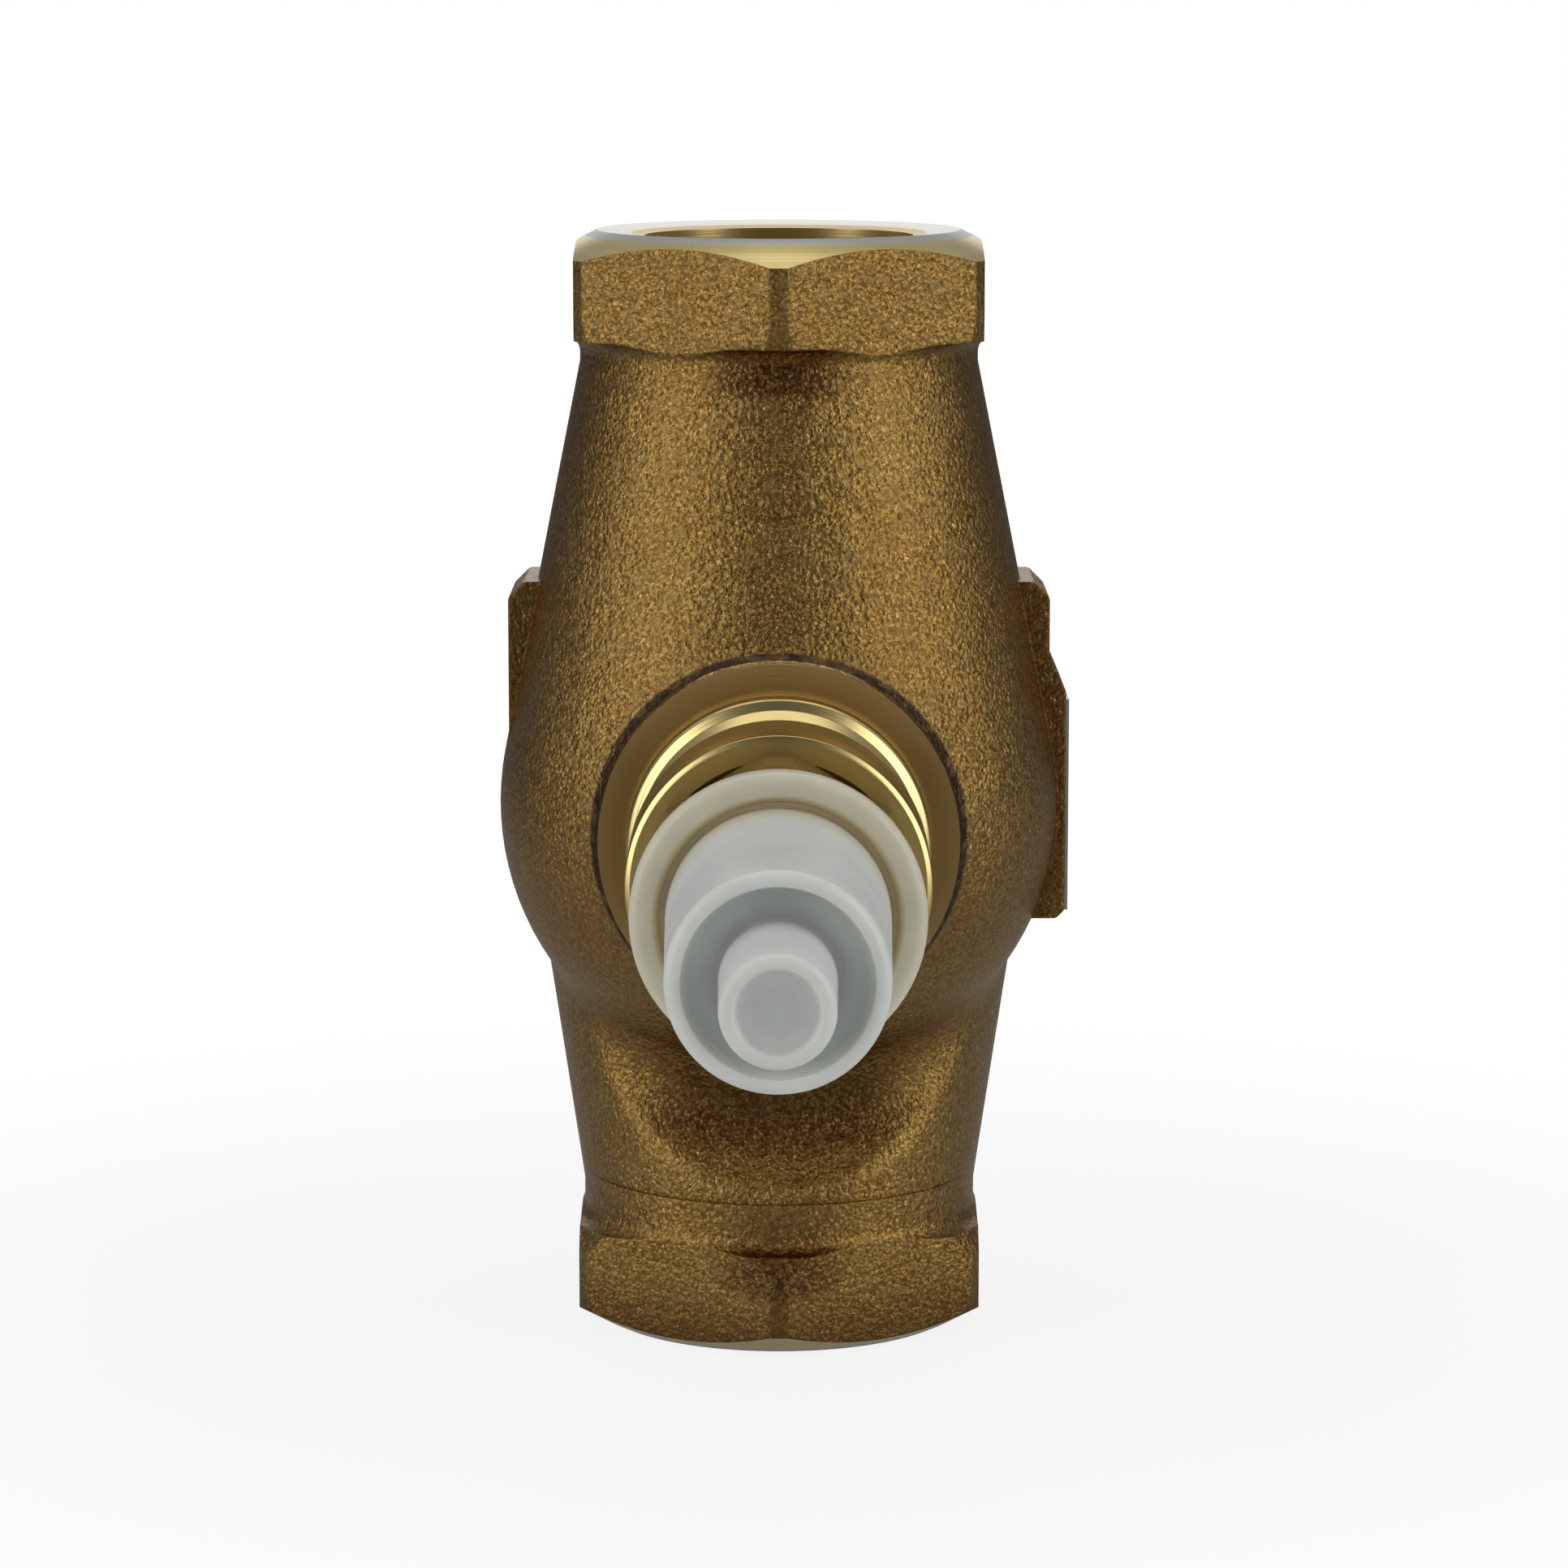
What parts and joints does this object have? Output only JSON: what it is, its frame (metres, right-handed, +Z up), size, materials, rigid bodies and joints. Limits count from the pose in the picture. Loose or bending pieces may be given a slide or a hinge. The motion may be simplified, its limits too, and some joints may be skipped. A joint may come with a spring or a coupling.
{
  "type": "globe control valve",
  "caption": "Straight-through globe control valve with threaded hexagonal ends, a bonnet with a grooved collar for a linear actuator, and a push-on protective cap.",
  "frame": {"origin": "centre of the lower port at the lower end face", "axes": "+Z up the flow axis towards the upper port, -Y along the bonnet and stem towards the protective cap, +X towards the side pad with the type plate"},
  "size_m": [0.0708, 0.1715, 0.137],
  "materials": {
    "cast_bronze": "rough sand-cast bronze with machined end faces, threads and boss face",
    "turned_brass": "bright turned brass with fine tool marks",
    "steel": "turned stainless steel, ground where it slides",
    "seal_plastic": "white filled plastic",
    "seal_rubber": "black rubber",
    "plate_aluminium": "thin blank plate",
    "cap_plastic": "milky natural polyethylene, slightly translucent"
  },
  "bodies": {
    "valve": {"valve_body": "cast_bronze", "type_plate": "plate_aluminium", "seat_ring": "turned_brass", "bonnet": "turned_brass", "bonnet_gasket": "seal_plastic", "guide_bush": "seal_plastic", "packing_spring": "steel", "packing_adapter": "seal_plastic", "packing_ring_1": "seal_plastic", "packing_ring_2": "seal_plastic", "packing_ring_3": "seal_plastic", "packing_header": "seal_plastic", "gland_nut": "turned_brass", "gland_o_ring": "seal_rubber", "wiper_ring": "seal_plastic", "protective_cap": "cap_plastic"},
    "stem_assembly": {"stem": "steel", "throttle_plug": "turned_brass", "seat_disc": "seal_plastic", "disc_holder": "turned_brass", "plug_nut": "steel", "stem_locknut": "steel", "stem_button": "steel"}
  },
  "joints": [
    {"name": "stem_travel", "type": "slide", "parent": "valve", "child": "stem_assembly", "axis": [0, -1, 0], "range_m": [0, 0.02]}
  ]
}
